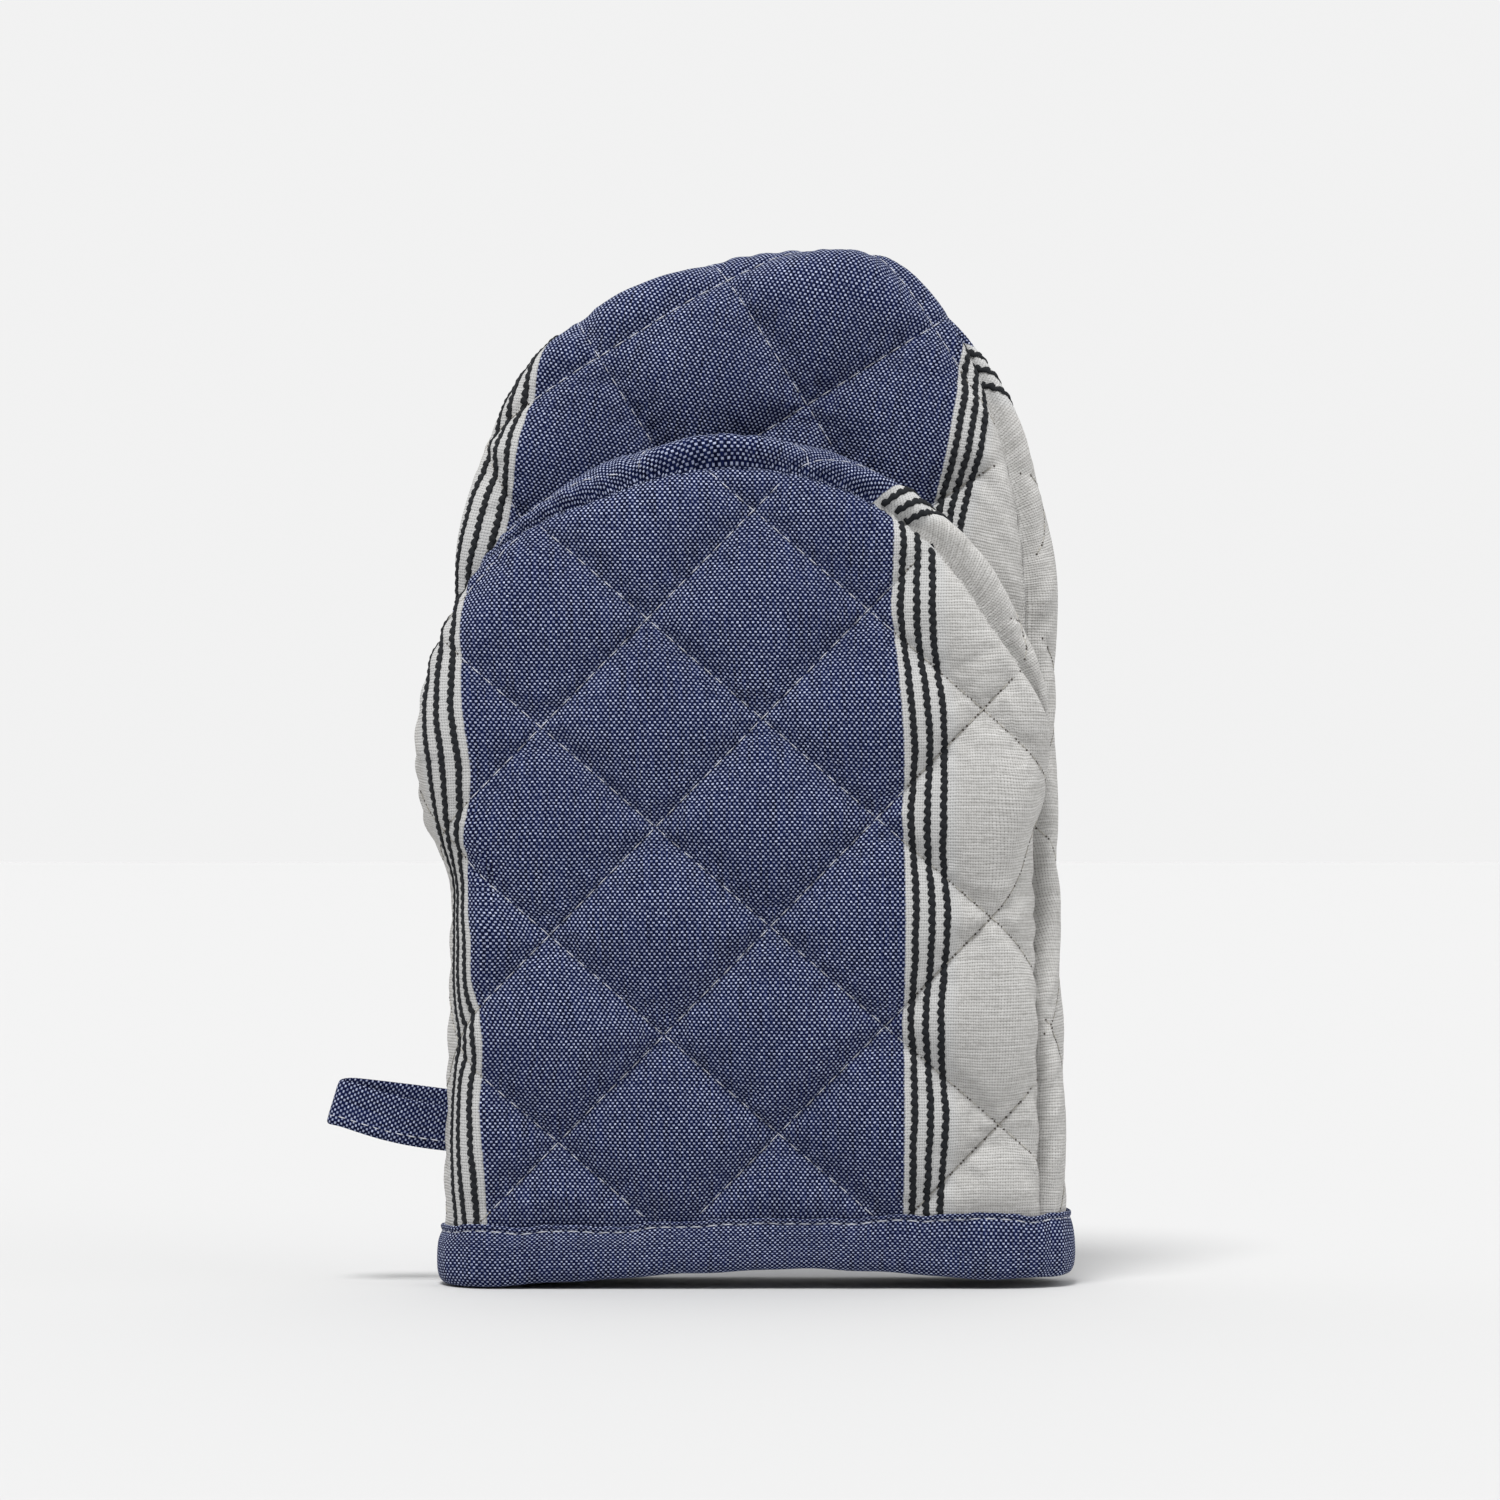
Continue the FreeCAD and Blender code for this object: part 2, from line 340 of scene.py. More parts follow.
def nearest(q, edge):
    """For rows of flat points: distance inside the outline, its nearest point and the edge's values there."""
    ex, ez = np.diff(edge.x), np.diff(edge.z)
    t = np.clip(((q[:, :1] - edge.x[:-1]) * ex + (q[:, 1:] - edge.z[:-1]) * ez) / (ex ** 2 + ez ** 2), 0, 1)
    fx, fz = edge.x[:-1] + t * ex, edge.z[:-1] + t * ez
    d2 = (q[:, :1] - fx) ** 2 + (q[:, 1:] - fz) ** 2
    k, r = d2.argmin(1), np.arange(len(q))
    x, z, share = fx[r, k], fz[r, k], t[r, k]
    nx, nz, y0, r_in, r_out, d_out = (
        a[k] * (1 - share) + a[k + 1] * share
        for a in (edge.nx, edge.nz, edge.y0, edge.r_in, edge.r_out, edge.d_out))
    norm = np.hypot(nx, nz)
    nx, nz = nx / norm, nz / norm
    outside = (q[:, 0] - x) * nx + (q[:, 1] - z) * nz > 0
    s = np.where(outside, -1, 1) * np.sqrt(d2[r, k])
    return s, x, z, nx, nz, y0, r_in, r_out, d_out


def lay(q, edge, face):
    """Rows of flat points to places on the panel and distances from its seam."""
    s, gx, gz, nx, nz, y0, r_in, r_out, d_out = nearest(q, edge)
    depth = face(gx - nx * r_in, gz - nz * r_in) - y0
    arc_in, arc_out = quarter(r_in, np.abs(depth)), quarter(r_out, np.abs(d_out))
    # the fabric's way from the edge: over the inner turn and on to the face, or over the outer turn
    a = s + arc_in - r_in
    turn = even_turn(np.clip(a / arc_in, 0, 1), np.abs(depth) / r_in)
    beyond = np.clip(-a, 0, None)
    turn_out = np.clip(beyond / np.maximum(arc_out, 1e-6), 0, 1) * math.pi / 2
    e = r_in * (1 - np.cos(turn)) + r_out * (1 - np.clip(np.cos(turn_out), 0, 1) ** BLUNT)
    inner = a >= arc_in
    x = np.where(inner, q[:, 0], gx - nx * e)
    z = np.where(inner, q[:, 1], gz - nz * e)
    turned = y0 + d_out * np.sin(turn_out) ** BLUNT + (face(x, z) - y0) * np.sin(turn)
    y = np.where(inner, face(q[:, 0], q[:, 1]), turned)
    over = np.clip(beyond - arc_out, 0, None)
    place = np.stack([x - nx * over, y - np.sign(depth) * over * CROSSING, z - nz * over], 1)
    return place, a + arc_out


def to_surface(u, v, edge, face):
    """Maps points of flat fabric to the panel. Returns points and the distance from the seam."""
    flat = np.stack([u.ravel(), v.ravel()], 1)
    parts = [lay(flat[i:i + CHUNK], edge, face) for i in range(0, len(flat), CHUNK)]
    place, dist = (np.concatenate(a) for a in zip(*parts))
    return place.reshape(u.shape + (3,)), dist.reshape(u.shape)


ASPECTS, SHARES = np.geomspace(0.02, 50, 40), 60          # depth by width of the turns, and steps along one


def turn_table():
    """The angle reached at even shares of the length of a quarter ellipse, for each aspect."""
    t = np.linspace(0, math.pi / 2, 181)
    rows = []
    for aspect in ASPECTS:
        speed = np.hypot(np.sin(t), aspect * np.cos(t))
        run = np.concatenate([[0], np.cumsum((speed[1:] + speed[:-1]) / 2)])
        rows.append(np.interp(np.linspace(0, 1, SHARES + 1), run / run[-1], t))
    return np.array(rows)


TURNS = turn_table()


def even_turn(share, aspect):
    """The angle at a share of a quarter ellipse's length, so that the fabric isn't stretched."""
    place = np.log(np.maximum(aspect, 1e-6) / ASPECTS[0]) / math.log(ASPECTS[1] / ASPECTS[0])
    i = np.clip(place, 0, len(ASPECTS) - 1.001)
    j = np.clip(share * SHARES, 0, SHARES - 0.001)
    return bilinear(TURNS, i, j)


def quarter(a, b):
    """Length of a quarter of an ellipse."""
    h = ((a - b) / np.maximum(a + b, 1e-9)) ** 2
    return math.pi / 4 * (a + b) * (1 + 3 * h / (10 + np.sqrt(4 - 3 * h)))


# ---- the quilting, from a cloth simulation

CELLS, FINE = 4, 22          # diamonds each way in the simulated sheet, and fabric points in each
SIM = 0.1                    # one simulated unit is ten millimetres
SETTLED = 45                 # simulated frames


def quilt_sheet():
    """A flat quilt held along its stitched lines and filled from below, in diamonds. Millimetres."""
    n = CELLS * FINE + 1
    g = np.arange(n) * QUILT / FINE
    p, q = np.meshgrid(g, g, indexing="ij")
    u, v = (p - q) / math.sqrt(2), (p + q) / math.sqrt(2)
    w = noise2(u * 0.35, v * 0.35, 3.0) + 0.5 * noise2(u * 0.9, v * 0.9, 5.0)
    ij = np.arange(n)
    held = (ij[:, None] % FINE == 0) | (ij[None, :] % FINE == 0)
    co = np.stack([u, v, np.where(held, 0, 0.35 * (1 + 0.6 * w))], 2).reshape(-1, 3) * SIM
    faces = grid_faces(np.ones((n, n), bool), True)[0]
    me = bpy.data.meshes.new("sim")
    me.from_pydata(co.tolist(), [], faces.tolist())
    ob = bpy.data.objects.new("sim", me)
    bpy.context.scene.collection.objects.link(ob)
    group = ob.vertex_groups.new(name="held")
    group.add([int(k) for k in np.flatnonzero(held.ravel())], 1.0, "REPLACE")
    modifier = ob.modifiers.new("cloth", "CLOTH")
    modifier.collision_settings.use_collision = False
    modifier.point_cache.frame_end = 60
    cloth = modifier.settings
    cloth.vertex_group_mass = "held"
    cloth.quality = 6
    cloth.mass = 0.3
    cloth.air_damping = 4.0
    cloth.tension_stiffness = 40
    cloth.compression_stiffness = 40
    cloth.shear_stiffness = 8
    cloth.bending_stiffness = 0.35
    cloth.tension_damping = cloth.compression_damping = 12
    cloth.shrink_min = -0.045
    cloth.effector_weights.gravity = 1.0
    cloth.use_pressure = True
    cloth.uniform_pressure_force = 1.6
    scene = bpy.context.scene
    kept = scene.gravity.copy()
    scene.gravity = (0, -2.2, 0)
    for f in range(1, SETTLED + 1):
        scene.frame_set(f)
    dg = bpy.context.evaluated_depsgraph_get()
    ev = ob.evaluated_get(dg)
    end = np.zeros(n * n * 3, np.float32)
    ev.data.vertices.foreach_get("co", end)
    scene.frame_set(1)
    scene.gravity = kept
    bpy.data.objects.remove(ob)
    flat = np.stack([u, v, 0 * u], 2)
    return end.reshape(n, n, 3).astype(float) / SIM - flat


SHEET = quilt_sheet()
SHEET[..., 2] *= PUFF / np.percentile(SHEET[..., 2], 97)


def quilting(u, v):
    """Fabric point to lattice coordinates, in cells: whole numbers are stitched lines."""
    return (u + v) / math.sqrt(2) / QUILT, (v - u) / math.sqrt(2) / QUILT


def relief(u, v):
    """Shift along u, along v and outwards of the quilted fabric, in millimetres."""
    p, q = quilting(u, v)
    i, j = np.floor(p), np.floor(q)
    ci = ((3 * i + 5 * j) % CELLS).astype(int)
    cj = ((i + 2 * j + 1) % CELLS).astype(int)
    within = FINE - 1e-6
    row = np.clip((p - i) * FINE, 0, within) + ci * FINE
    column = np.clip((q - j) * FINE, 0, within) + cj * FINE
    return bilinear(SHEET, row, column)


# ---- panels

# angle on the rim in degrees, depth and length of each fold
CREASES = ((22, 0.8, 8), (41, 0.6, 6), (58, 1.0, 9), (71, 0.7, 7), (88, 0.9, 10),
           (101, 0.6, 7), (109, 1.3, 13), (127, 0.8, 8), (148, 0.7, 7))


def creases(u, v, near):
    """Short folds that run inwards from the rim of the thumb pocket, where the fabric is gathered."""
    turn = np.arctan2(v - THUMB_Z, u - THUMB_X)
    out = 0.0
    for angle, deep, length in CREASES:
        off = (turn - math.radians(angle)) * THUMB_R + 0.06 * (near - 8) + 0.5 * np.sin(near * 0.4 + angle)
        out = out - deep * np.exp(-(off / 1.7) ** 2) * np.exp(-((near - length * 0.8) / length) ** 2)
    return out


def cloth_detail(u, v, lu, lv):
    """Height of the stitched lines' grooves, of the puckers beside them and of the cloth's soft waves."""
    p, q = quilting(lu, lv)
    line = np.minimum(np.abs(p - np.round(p)), np.abs(q - np.round(q))) * QUILT
    groove = -0.35 * np.exp(-(line / 0.9) ** 2)
    beside = np.exp(-(line / 6.0) ** 2) * (1 - np.exp(-(line / 1.5) ** 2))
    pucker = 0.75 * noise2(u / 2.2, v / 2.2, 2.0) * beside
    return groove + pucker + 0.6 * noise2(u / 11.0, v / 11.0, 4.0)


def seam_detail(u, v, near):
    """Height of the pinched seam and of the small waves beside it."""
    pinch = -0.8 * np.exp(-(near / 1.6) ** 2) + 0.5 * np.exp(-((near - 4.5) / 2.5) ** 2)
    ripple = 0.35 * np.sin(2 * math.pi * (u + 0.7 * v) / 8.5 + 2 * noise2(u / 20, v / 20, 1.0))
    return pinch + ripple * np.exp(-((near - 4) / 4.0) ** 2)


class Panel:
    """A quilted panel: a grid of fabric points with their places, normals and seam distances."""

    def __init__(self, name, u, v, base, dist, lattice, fade, pattern, outward):
        self.name, self.u, self.v, self.dist = name, u, v, dist
        self.lattice, self.pattern = lattice, pattern
        near = np.clip(dist, 0, None)
        n = self.normals_of(base, outward)
        k = np.where(dist > 0, fade * (1 - np.exp(-(near / 6.0) ** 1.5)), 0)
        k = k * mix(0.3, 1.0, smooth(np.abs(n[..., 1]), 0.05, 0.9))      # flatter where the panel turns
        if name == "front_panel":
            k = k * mix(0.45, 1.0, smooth(u, -84.0, -58.0))
        lu, lv = lattice(u, v)
        r = relief(lu, lv)
        high = r[..., 2] + cloth_detail(u, v, lu, lv)
        if name != "back_panel":
            high = high + creases(u, v, near)
        out = high * k + seam_detail(u, v, near) * np.maximum(fade, 0.3)
        side = r[..., :2] * k[..., None]
        tu, tv = unit(np.gradient(base, axis=1)), unit(np.gradient(base, axis=0))
        self.base, self.base_n = base, n
        self.place = base + n * out[..., None] + tu * side[..., :1] + tv * side[..., 1:]
        self.normal = self.normals_of(self.place, outward)

    @staticmethod
    def normals_of(place, outward):
        return unit(np.cross(np.gradient(place, axis=1), np.gradient(place, axis=0)) * outward)

    def sample(self, u, v):
        """Place, normal and seam distance at fabric points, by bilinear interpolation."""
        du, dv = self.u[0, 1] - self.u[0, 0], self.v[1, 0] - self.v[0, 0]
        i = np.clip((v - self.v[0, 0]) / dv, 0, self.v.shape[0] - 1.001)
        j = np.clip((u - self.u[0, 0]) / du, 0, self.u.shape[1] - 1.001)
        return bilinear(self.place, i, j), unit(bilinear(self.normal, i, j)), bilinear(self.dist, i, j)


ALLOWANCE = 3.0              # fabric turned in beyond each seam


def snap(u, v, dist):
    """Moves the grid points that lie next to the seam onto it, so that the seam is a clean line."""
    gu, gv = np.gradient(dist, axis=1) / STEP, np.gradient(dist, axis=0) / STEP
    g2 = gu ** 2 + gv ** 2 + 1e-9
    close = np.abs(dist) < 0.5 * STEP * np.sqrt(g2)
    return u - np.where(close, dist * gu / g2, 0), v - np.where(close, dist * gv / g2, 0)


MARGIN = 34.0                # flat fabric round an outline, before it is cut along the seam
HIDDEN_Z = 7.0               # where the panels end inside the binding


def lay_panel(name, u, v, edge, face, outward, lattice, pattern, fade):
    """The panel whose flat fabric is the grid u, v."""
    dist = to_surface(u, v, edge, face)[1]
    base, dist = to_surface(*snap(u, v, dist), edge, face)
    return Panel(name, u, v, base, dist, lattice, fade, pattern, outward)


def build_panel(name, edge, face, outward, lattice, pattern):
    u, v = grid(edge.x.min() - MARGIN, edge.x.max() + MARGIN, HIDDEN_Z, edge.z.max() + MARGIN, STEP)
    fade = smooth(v, BIND_TOP - 3, BIND_TOP + 9)
    return lay_panel(name, u, v, edge, face, outward, lattice, pattern, fade)


def panel_object(panel, flip):
    faces, used = grid_faces(panel.dist > -ALLOWANCE, flip)
    uv = np.stack(panel.pattern(panel.u, panel.v), 2).reshape(-1, 2)[used]
    return mesh_object(panel.name, panel.place.reshape(-1, 3)[used], faces, uv, FABRIC)


# pattern coordinates: across the stripes from the middle of the blue, and along them

BLUE_HALF = 57.5
BAND = 13.0                  # width of the pale band that holds the cords
LEAN = math.radians(11)      # of the finger pocket's fabric


def pattern_front(u, v):
    half = mix(54.7, 58.0, smooth(v, 0, WEB_Z + 20)) - 1.2 * smooth(v, WEB_Z + 18, WEB_Z + 75)
    middle = mix(-16.0, -19.2, smooth(v, 0, WEB_Z + 20)) - 1.8 * smooth(v, WEB_Z + 18, WEB_Z + 75)
    # puckers at the left edge draw the stripe inwards
    drawn = 2.8 * np.exp(-((v - 66.0) / 10.0) ** 2) + 2.2 * np.exp(-((v - 134.0) / 14.0) ** 2)
    drawn = drawn + 1.2 * np.exp(-((v - 92.0) / 6.0) ** 2)
    return (u - drawn * smooth(-u, 20, 60) - middle) * BLUE_HALF / half, v


def pattern_back(u, v):
    return u - 5.0, v


def pattern_finger(u, v):
    du, dv = u + 4.0, v - (WEB_Z + 121.0)
    across = (du * math.cos(LEAN) - dv * math.sin(LEAN)) * BLUE_HALF / 55.5
    across = np.where(across > BLUE_HALF, BLUE_HALF + (across - BLUE_HALF) * 1.2, across)
    return across, du * math.sin(LEAN) + dv * math.cos(LEAN)


def pattern_thumb(u, v):
    right = mix(30.0, 43.0, smooth(v, WEB_Z, WEB_Z + 70))
    edge = mix(28.0, right, smooth(u, -45.0, 10.0))
    return u - edge + BLUE_HALF, WEB_Z - v - 50.0


class Lattice:
    """Where the quilting lines lie: one crossing, the turn of the diamonds and their width and height."""

    def __init__(self, u0, v0, turn=0.0, wide=1.0, high=1.0):
        c, s = math.cos(math.radians(turn)), math.sin(math.radians(turn))
        self.origin = (u0, v0)
        self.matrix = np.array([[c / wide, s / wide], [-s / high, c / high]])
        self.inverse = np.linalg.inv(self.matrix)

    @staticmethod
    def turned(m, a, b):
        return m[0, 0] * a + m[0, 1] * b, m[1, 0] * a + m[1, 1] * b

    def __call__(self, u, v):
        return self.turned(self.matrix, u - self.origin[0], v - self.origin[1])

    def back(self, lu, lv):
        u, v = self.turned(self.inverse, lu, lv)
        return u + self.origin[0], v + self.origin[1]


FRONT = build_panel("front_panel", front_edge(), face_front, 1,
                    Lattice(-26.4, WEB_Z + 9.7, 2.3, 1.017, 0.958), pattern_front)
BACK = build_panel("back_panel", BACK_EDGE, face_back, -1, Lattice(-6.0, 70.0), pattern_back)


def build_mouth():
    """The mouth panel's finger side and thumb side, both upwards from the fold at the web."""
    ef, et = FINGER_PALM_EDGE, thumb_palm_edge()
    u0, u1 = min(ef.x.min(), et.x.min()) - MARGIN, max(ef.x.max(), et.x.max()) + MARGIN
    sides = []
    for edge, outward, lattice, pattern in (
            (ef, 1, Lattice(13.6, WEB_Z + 122.2, -13.0), pattern_finger),
            (et, -1, Lattice(-10.0, WEB_Z + 38.0), pattern_thumb)):
        u, v = grid(u0, u1, WEB_Z, edge.z.max() + MARGIN, STEP)
        fade = smooth(v, WEB_Z + 1, WEB_Z + 15)
        face = face_palm(outward)
        sides.append(lay_panel("mouth_panel", u, v, edge, face, outward, lattice, pattern, fade))
    return sides


MOUTH_F, MOUTH_T = build_mouth()


def mouth_object():
    """Joins the mouth panel's sides along a round fold. Also returns each point's share of the thumb."""
    fold = 5
    f, t = MOUTH_F, MOUTH_T
    pf, pt = f.place[0], t.place[0]
    middle, half = (pf + pt) / 2, (pf - pt) / 2
    r = np.linalg.norm(half, axis=1)
    rows, dists, uvs = [], [], []
    uf, ut = np.stack(f.pattern(f.u, f.v), 2), np.stack(t.pattern(t.u, t.v), 2)
    for k in range(1, fold):
        a = math.pi * (k / fold - 0.5)
        row = middle - half * math.sin(-a)
        row[:, 2] -= np.clip(r, 0, 1.5) * math.cos(a)
        rows.append(row)
        dists.append(np.minimum(f.dist[0], t.dist[0]))
        uvs.append(mix(ut[0], uf[0], k / fold))
    place = np.concatenate([t.place[::-1], np.array(rows), f.place])
    dist = np.concatenate([t.dist[::-1], np.array(dists), f.dist])
    uv = np.concatenate([ut[::-1], np.array(uvs), uf])
    side = np.concatenate([np.ones(t.u.shape[0]), 1 - np.arange(1, fold) / fold, np.zeros(f.u.shape[0])])
    faces, used = grid_faces(dist > -ALLOWANCE, False)
    share = np.repeat(side, dist.shape[1])[used]
    return mesh_object(f.name, place.reshape(-1, 3)[used], faces, uv.reshape(-1, 2)[used], FABRIC), share


# ---- materials


def nodes_of(name):
    m = bpy.data.materials.new(name)
    m.use_nodes = True
    return m, Net(m.node_tree), m.node_tree.nodes["Principled BSDF"]


class Net:
    """Short calls for building a node tree."""

    def __init__(self, nt):
        self.nt = nt

    def put(self, socket, value):
        if isinstance(value, bpy.types.NodeSocket):
            self.nt.links.new(value, socket)
        else:
            socket.default_value = value

    def node(self, kind, *values, **settings):
        """A new node with its settings and its first inputs."""
        n = self.nt.nodes.new("ShaderNode" + kind)
        for key, value in settings.items():
            setattr(n, key, value)
        for socket, value in zip(n.inputs, values):
            self.put(socket, value)
        return n

    def math(self, op, *values, clamp=False):
        return self.node("Math", *values, operation=op, use_clamp=clamp).outputs[0]

    def add(self, a, b, clamp=False):
        return self.math("ADD", a, b, clamp=clamp)

    def times(self, a, b, clamp=False):
        return self.math("MULTIPLY", a, b, clamp=clamp)

    def uv(self):
        return self.node("UVMap", uv_map="fabric").outputs[0]

    def split(self, vector):
        n = self.node("SeparateXYZ", vector)
        return n.outputs[0], n.outputs[1]

    def join(self, x, y):
        return self.node("CombineXYZ", x, y).outputs[0]

    def noise(self, vector, scale, detail=2.0, rough=0.5):
        n = self.node("TexNoise", vector)
        for key, value in (("Scale", scale), ("Detail", detail), ("Roughness", rough)):
            n.inputs[key].default_value = value
        return n.outputs["Fac"]

    def mix(self, factor, a, b):
        n = self.node("Mix", factor, data_type="RGBA")
        self.put(n.inputs[6], a)
        self.put(n.inputs[7], b)
        return n.outputs[2]

    def range(self, value, a, b, c=0.0, d=1.0):
        return self.node("MapRange", value, a, b, c, d).outputs[0]

    def surface(self, bsdf, colour, rough, specular, height, deep):
        """Colour, roughness, gloss and a bump of the height over a depth in metres."""
        self.put(bsdf.inputs["Base Color"], colour)
        self.put(bsdf.inputs["Roughness"], rough)
        self.put(bsdf.inputs["Specular IOR Level"], specular)
        bump = self.node("Bump")
        for key, value in (("Strength", 0.5), ("Distance", deep), ("Height", height)):
            self.put(bump.inputs[key], value)
        self.put(bsdf.inputs["Normal"], bump.outputs[0])


WARP, WEFT = 0.645, 0.77     # thread spacing across and along the cloth


def weave(net, x, y):
    """Plain weave over (x, y) millimetres: the share of pale weft, the height, and the painted shade of the
    gaps in between.
    """
    wob = net.times(net.noise(net.join(x, y), 0.12, 2.0), 0.7)
    fine = net.times(net.noise(net.join(x, y), 0.9, 1.0), 0.22)
    gy = net.math("DIVIDE", net.add(net.add(y, wob), fine), WEFT)
    row = net.math("FLOOR", gy)
    in_row = net.math("SINE", net.times(net.math("SUBTRACT", gy, row), math.pi))
    gx = net.math("DIVIDE", net.add(net.add(x, wob), fine), WARP)
    wave = net.math("COSINE", net.times(net.add(gx, row), math.pi))
    weft = net.times(net.range(wave, 0.0, 0.5), net.range(in_row, 0.42, 0.80))
    height = net.times(in_row, net.add(net.times(wave, 0.25), 0.75))
    column = net.math("ABSOLUTE", net.math("SINE", net.times(gx, math.pi)))
    # painted shade: darker where the threads part, between warp threads and between rows
    gap_shade = net.times(net.range(column, 0.6, 0.15), net.range(in_row, 0.8, 0.3))
    lines = net.add(net.range(in_row, 0.5, 0.1, 0.0, 0.3), net.range(column, 0.45, 0.1, 0.0, 0.2))
    return weft, height, net.add(gap_shade, lines, clamp=True)


def streaks(net, x, y, along, thick):
    """Noise drawn out along a thread's direction."""
    return net.noise(net.join(net.times(x, along), net.times(y, thick)), 1.0, 3.0, 0.6)


def chambray(name, striped=True):
    m, net, bsdf = nodes_of(name)
    x, y = net.split(net.uv())
    weft, height, gap_shade = weave(net, x, y)
    warp_threads = streaks(net, x, y, 1.5, 0.06)
    weft_threads = streaks(net, x, y, 0.07, 1.2)
    broad = net.noise(net.join(x, y), 0.035, 3.0)
    speck = net.noise(net.join(x, y), 0.8, 1.0)
    navy = net.mix(net.range(warp_threads, 0.3, 0.7), (0.001, 0.002, 0.016, 1), (0.007, 0.013, 0.066, 1))
    white = net.mix(net.range(speck, 0.3, 0.7), (0.27, 0.31, 0.48, 1), (0.70, 0.77, 1.0, 1))
    strength = net.times(weft, net.range(weft_threads, 0.3, 0.7, 0.6, 1.0))
    strength = net.times(strength, net.range(broad, 0.3, 0.7, 0.8, 1.1), clamp=True)
    blue = net.mix(strength, navy, white)
    colour = blue
    if striped:                                           # black cords lie on the pale band as geometry
        across = net.math("ABSOLUTE", x)
        thread = net.range(weft_threads, 0.35, 0.65)
        cream_thread = net.mix(thread, (0.43, 0.422, 0.407, 1), (0.61, 0.603, 0.588, 1))
        cream_thread = net.mix(net.range(speck, 0.35, 0.7, 0.0, 0.5), cream_thread, (0.68, 0.672, 0.66, 1))
        # painted shade: the cream darkens to a brown grey in the weave's gaps
        cream = net.mix(gap_shade, cream_thread, (0.25, 0.24, 0.225, 1))
        band_thread = net.mix(weft_threads, (0.48, 0.48, 0.475, 1), (0.66, 0.66, 0.655, 1))
        # painted shade: the pale band darkens to grey in the weave's gaps, a little less than the cream
        band = net.mix(net.times(gap_shade, 0.8), band_thread, (0.22, 0.22, 0.22, 1))
        edge = net.add(across, net.times(net.noise(net.join(x, y), 0.9, 1.0), 0.5))
        pale = net.mix(net.range(edge, BLUE_HALF + BAND, BLUE_HALF + BAND + 2.5), band, cream)
        colour = net.mix(net.range(edge, BLUE_HALF + 0.1, BLUE_HALF + 0.5), blue, pale)
    rough = net.range(warp_threads, 0.0, 1.0, 0.8, 0.97)
    net.surface(bsdf, colour, rough, 0.06, net.add(height, net.times(weft_threads, 0.8)), 0.00022)
    return m


def yarn(name, light, dark):
    """Thread whose colour and height vary in fine flecks."""
    m, net, bsdf = nodes_of(name)
    scaled = net.node("VectorMath", net.node("TexCoord").outputs["Object"], operation="SCALE")
    scaled.inputs["Scale"].default_value = 1000.0         # metres to millimetres
    fuzz = net.noise(scaled.outputs[0], 2.2, 3.0, 0.6)
    net.surface(bsdf, net.mix(fuzz, dark, light), net.range(fuzz, 0, 1, 0.7, 0.95), 0.25, fuzz, 0.0001)
    return m


FABRIC = chambray("striped_chambray")
PLAIN = chambray("plain_chambray", striped=False)
BLACK = yarn("black_cord", (0.020, 0.022, 0.026, 1), (0.004, 0.005, 0.007, 1))
WHITE = yarn("white_thread", (0.80, 0.81, 0.86, 1), (0.40, 0.42, 0.50, 1))
CREAM = yarn("cream_thread", (0.54, 0.52, 0.47, 1), (0.36, 0.34, 0.30, 1))
# painted shade: dark brown dots for the shade inside each needle hole
HOLE_SHADE = yarn("needle_hole_shade", (0.12, 0.105, 0.09, 1), (0.05, 0.045, 0.04, 1))

front_panel = panel_object(FRONT, False)
back_panel = panel_object(BACK, True)
mouth_panel, mouth_share = mouth_object()

# ---- cords and stitches


def bead_chain(starts, ends, normals, width, height, lift, rings=4, sides=5):
    """Plump stitches from start to end points lying on a surface. Returns vertices and faces."""
    axis = unit(ends - starts)
    side = unit(np.cross(axis, normals))
    up = np.cross(side, axis)
    rows = []
    ang = np.arange(sides) * 2 * math.pi / sides
    for t in np.linspace(0, 1, rings):
        swell = 0.25 + 0.75 * math.sqrt(1 - (2 * t - 1) ** 2) ** 0.7
        centre = starts + (ends - starts) * t + up * (lift + height * (0.5 * swell - 0.35))
        rows.append(centre[:, None] + side[:, None] * (np.cos(ang) * width / 2 * swell)[None, :, None]
                    + up[:, None] * (np.sin(ang) * height / 2 * swell)[None, :, None])
    v = np.stack(rows, 1).reshape(-1, 3)
    base = np.arange(len(starts))[:, None] * rings * sides
    quads = []
    for r in range(rings - 1):
        for s in range(sides):
            a, b = r * sides + s, r * sides + (s + 1) % sides
            quads.append((a, a + sides, b + sides, b))
    f = (base[:, None] + np.array(quads)[None]).reshape(-1, 4).tolist()
    for cap in (range(sides), range(rings * sides - 1, (rings - 1) * sides - 1, -1)):
        f += (base + np.array(cap)[None]).tolist()
    return v, f


